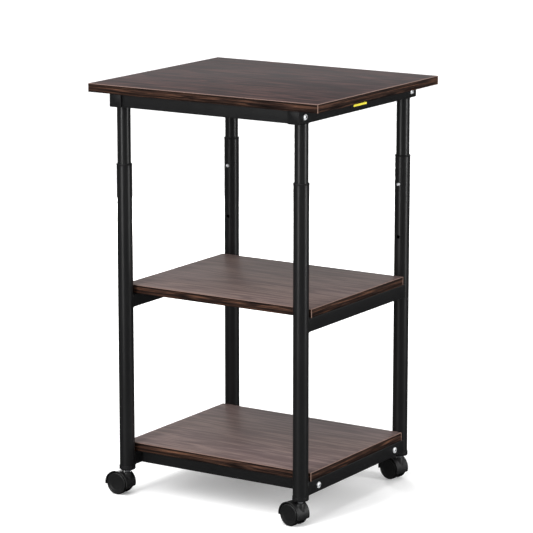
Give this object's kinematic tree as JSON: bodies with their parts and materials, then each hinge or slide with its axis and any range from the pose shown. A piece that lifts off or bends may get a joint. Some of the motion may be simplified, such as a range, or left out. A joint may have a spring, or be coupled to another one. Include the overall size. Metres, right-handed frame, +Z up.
{
  "type": "mobile printer stand",
  "caption": "Rolling printer stand with a wood-look top on height-adjustable telescopic legs, a middle shelf, a bottom shelf and swivel casters.",
  "frame": {"origin": "on the floor, midway between the four legs", "axes": "+Z up; +X to the right of someone facing the stand; +Y from the front to the back"},
  "size_m": [0.55, 0.48, 0.872],
  "materials": {
    "laminate": "satin walnut-look laminate",
    "powder_coat": "satin black powder coat",
    "zinc": "bright zinc plate",
    "spring_steel": "bright spring steel",
    "black_plastic": "matte moulded plastic",
    "caster_plastic": "satin moulded nylon",
    "label_film": "glossy film, black with a plain yellow band"
  },
  "bodies": {
    "lower_frame": {"middle_shelf": "laminate", "bottom_shelf": "laminate", "middle_side_rail_left": "powder_coat", "middle_side_rail_right": "powder_coat", "bottom_side_rail_left": "powder_coat", "bottom_side_rail_right": "powder_coat", "bottom_front_rail": "powder_coat", "bottom_rear_rail": "powder_coat", "outer_leg_tube_front_left": "powder_coat", "leg_plug_front_left": "black_plastic", "caster_stem_front_left": "zinc", "bottom_rail_bolt_front_left": "zinc", "outer_leg_tube_front_right": "powder_coat", "leg_plug_front_right": "black_plastic", "caster_stem_front_right": "zinc", "bottom_rail_bolt_front_right": "zinc", "outer_leg_tube_rear_right": "powder_coat", "leg_plug_rear_right": "black_plastic", "caster_stem_rear_right": "zinc", "bottom_rail_bolt_rear_right": "zinc", "outer_leg_tube_rear_left": "powder_coat", "leg_plug_rear_left": "black_plastic", "caster_stem_rear_left": "zinc", "bottom_rail_bolt_rear_left": "zinc"},
    "upper_frame": {"top_board": "laminate", "top_side_rail_left": "powder_coat", "top_side_rail_right": "powder_coat", "top_front_rail": "powder_coat", "top_rear_rail": "powder_coat", "label_plate": "label_film", "inner_leg_tube_front_left": "powder_coat", "top_rail_bolt_front_left": "zinc", "inner_leg_tube_front_right": "powder_coat", "top_rail_bolt_front_right": "zinc", "inner_leg_tube_rear_right": "powder_coat", "top_rail_bolt_rear_right": "zinc", "inner_leg_tube_rear_left": "powder_coat", "top_rail_bolt_rear_left": "zinc"},
    "lock_front_left": {"lock_button_front_left": "spring_steel"},
    "lock_front_right": {"lock_button_front_right": "spring_steel"},
    "lock_rear_right": {"lock_button_rear_right": "spring_steel"},
    "lock_rear_left": {"lock_button_rear_left": "spring_steel"},
    "caster_front_left": {"caster_housing_front_left": "caster_plastic", "caster_axle_front_left": "zinc"},
    "wheel_front_left_a": {"caster_wheel_front_left_a": "caster_plastic"},
    "wheel_front_left_b": {"caster_wheel_front_left_b": "caster_plastic"},
    "caster_front_right": {"caster_housing_front_right": "caster_plastic", "caster_axle_front_right": "zinc"},
    "wheel_front_right_a": {"caster_wheel_front_right_a": "caster_plastic"},
    "wheel_front_right_b": {"caster_wheel_front_right_b": "caster_plastic"},
    "caster_rear_right": {"caster_housing_rear_right": "caster_plastic", "caster_axle_rear_right": "zinc"},
    "wheel_rear_right_a": {"caster_wheel_rear_right_a": "caster_plastic"},
    "wheel_rear_right_b": {"caster_wheel_rear_right_b": "caster_plastic"},
    "caster_rear_left": {"caster_housing_rear_left": "caster_plastic", "caster_axle_rear_left": "zinc"},
    "wheel_rear_left_a": {"caster_wheel_rear_left_a": "caster_plastic"},
    "wheel_rear_left_b": {"caster_wheel_rear_left_b": "caster_plastic"}
  },
  "joints": [
    {"name": "table_height", "type": "slide", "parent": "lower_frame", "child": "upper_frame", "axis": [0, 0, 1], "range_m": [-0.112, 0], "deforming": ["lock_button_front_left", "lock_button_front_right", "lock_button_rear_right", "lock_button_rear_left"]},
    {"name": "lock_press_front_left", "type": "slide", "parent": "upper_frame", "child": "lock_front_left", "axis": [0, -1, 0], "range_m": [0, 0.006], "stiffness_N_per_m": 1200, "springref_m": -0.002},
    {"name": "lock_press_front_right", "type": "slide", "parent": "upper_frame", "child": "lock_front_right", "axis": [0, -1, 0], "range_m": [0, 0.006], "stiffness_N_per_m": 1200, "springref_m": -0.002},
    {"name": "lock_press_rear_right", "type": "slide", "parent": "upper_frame", "child": "lock_rear_right", "axis": [0, 1, 0], "range_m": [0, 0.006], "stiffness_N_per_m": 1200, "springref_m": -0.002},
    {"name": "lock_press_rear_left", "type": "slide", "parent": "upper_frame", "child": "lock_rear_left", "axis": [0, 1, 0], "range_m": [0, 0.006], "stiffness_N_per_m": 1200, "springref_m": -0.002},
    {"name": "swivel_front_left", "type": "hinge", "parent": "lower_frame", "child": "caster_front_left", "pos_m": [-0.214, -0.201, 0.04], "axis": [0, 0, 1], "continuous": true},
    {"name": "roll_front_left_a", "type": "hinge", "parent": "caster_front_left", "child": "wheel_front_left_a", "pos_m": [-0.23199, -0.20163, 0.024], "axis": [-0.0349, 0.9994, 0], "continuous": true},
    {"name": "roll_front_left_b", "type": "hinge", "parent": "caster_front_left", "child": "wheel_front_left_b", "pos_m": [-0.23199, -0.20163, 0.024], "axis": [-0.0349, 0.9994, 0], "continuous": true},
    {"name": "swivel_front_right", "type": "hinge", "parent": "lower_frame", "child": "caster_front_right", "pos_m": [0.214, -0.201, 0.04], "axis": [0, 0, 1], "continuous": true},
    {"name": "roll_front_right_a", "type": "hinge", "parent": "caster_front_right", "child": "wheel_front_right_a", "pos_m": [0.19633, -0.19756, 0.024], "axis": [0.1908, 0.9816, 0], "continuous": true},
    {"name": "roll_front_right_b", "type": "hinge", "parent": "caster_front_right", "child": "wheel_front_right_b", "pos_m": [0.19633, -0.19756, 0.024], "axis": [0.1908, 0.9816, 0], "continuous": true},
    {"name": "swivel_rear_right", "type": "hinge", "parent": "lower_frame", "child": "caster_rear_right", "pos_m": [0.214, 0.201, 0.04], "axis": [0, 0, 1], "continuous": true},
    {"name": "roll_rear_right_a", "type": "hinge", "parent": "caster_rear_right", "child": "wheel_rear_right_a", "pos_m": [0.19633, 0.20444, 0.024], "axis": [0.1908, 0.9816, 0], "continuous": true},
    {"name": "roll_rear_right_b", "type": "hinge", "parent": "caster_rear_right", "child": "wheel_rear_right_b", "pos_m": [0.19633, 0.20444, 0.024], "axis": [0.1908, 0.9816, 0], "continuous": true},
    {"name": "swivel_rear_left", "type": "hinge", "parent": "lower_frame", "child": "caster_rear_left", "pos_m": [-0.214, 0.201, 0.04], "axis": [0, 0, 1], "continuous": true},
    {"name": "roll_rear_left_a", "type": "hinge", "parent": "caster_rear_left", "child": "wheel_rear_left_a", "pos_m": [-0.23196, 0.19974, 0.024], "axis": [-0.0698, 0.9976, 0], "continuous": true},
    {"name": "roll_rear_left_b", "type": "hinge", "parent": "caster_rear_left", "child": "wheel_rear_left_b", "pos_m": [-0.23196, 0.19974, 0.024], "axis": [-0.0698, 0.9976, 0], "continuous": true}
  ]
}
